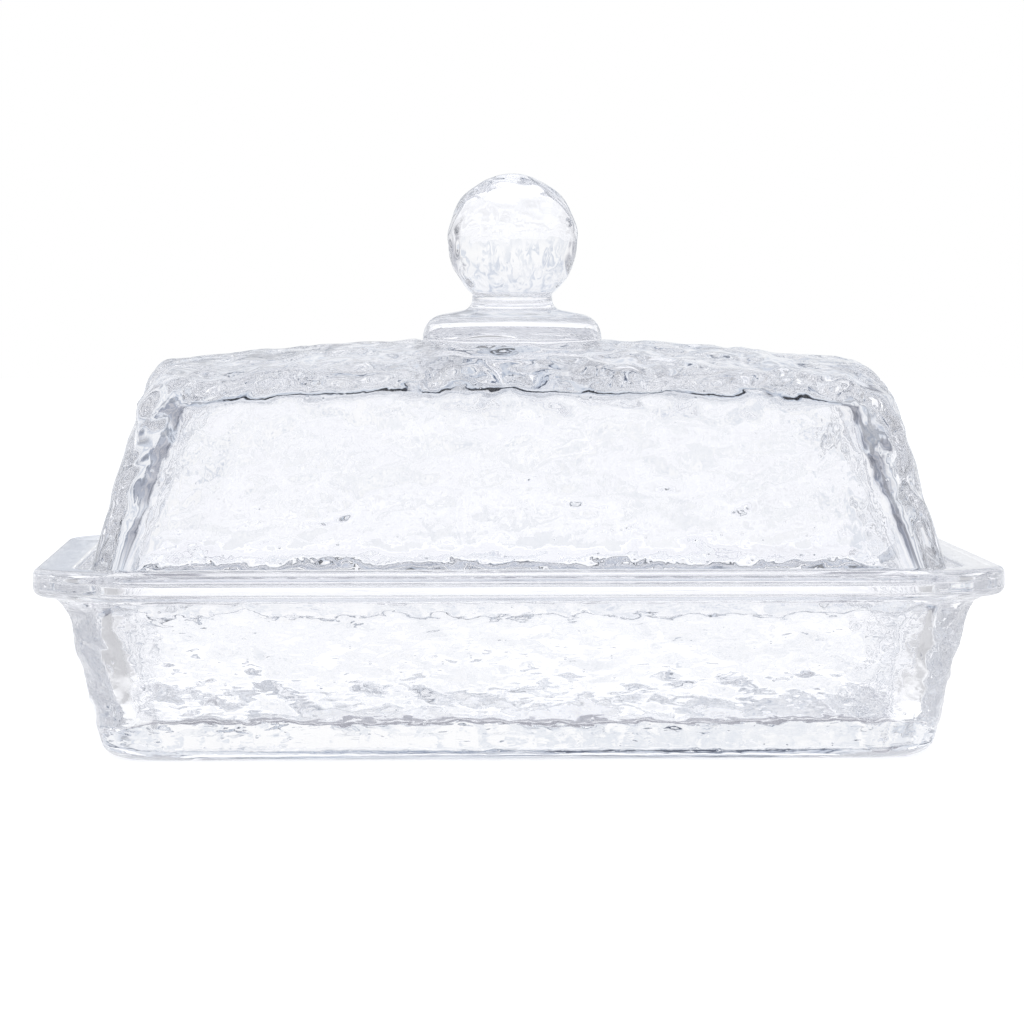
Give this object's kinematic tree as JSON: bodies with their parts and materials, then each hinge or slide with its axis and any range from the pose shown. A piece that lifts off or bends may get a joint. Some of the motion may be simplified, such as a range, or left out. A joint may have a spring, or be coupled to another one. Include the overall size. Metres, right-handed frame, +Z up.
{
  "type": "butter dish",
  "caption": "Covered butter dish in clear pressed glass: a rectangular footed dish with a wide rim, and a hammered lid with a ball knob that lifts off.",
  "frame": {"origin": "on the table, under the middle of the dish", "axes": "+X along the dish's length, +Z up through the knob, so the long side faces -Y"},
  "size_m": [0.19, 0.12, 0.1157],
  "materials": {
    "clear_glass": "clear pressed soda-lime glass, hammered outside and smooth inside, on the rim and on the plate"
  },
  "bodies": {
    "dish": {"base_dish": "clear_glass"},
    "lid": {"lid": "clear_glass"}
  },
  "joints": [
    {"name": "lid_lift", "type": "slide", "parent": "dish", "child": "lid", "axis": [0, 0, 1], "range_m": [0, 0.12]}
  ]
}
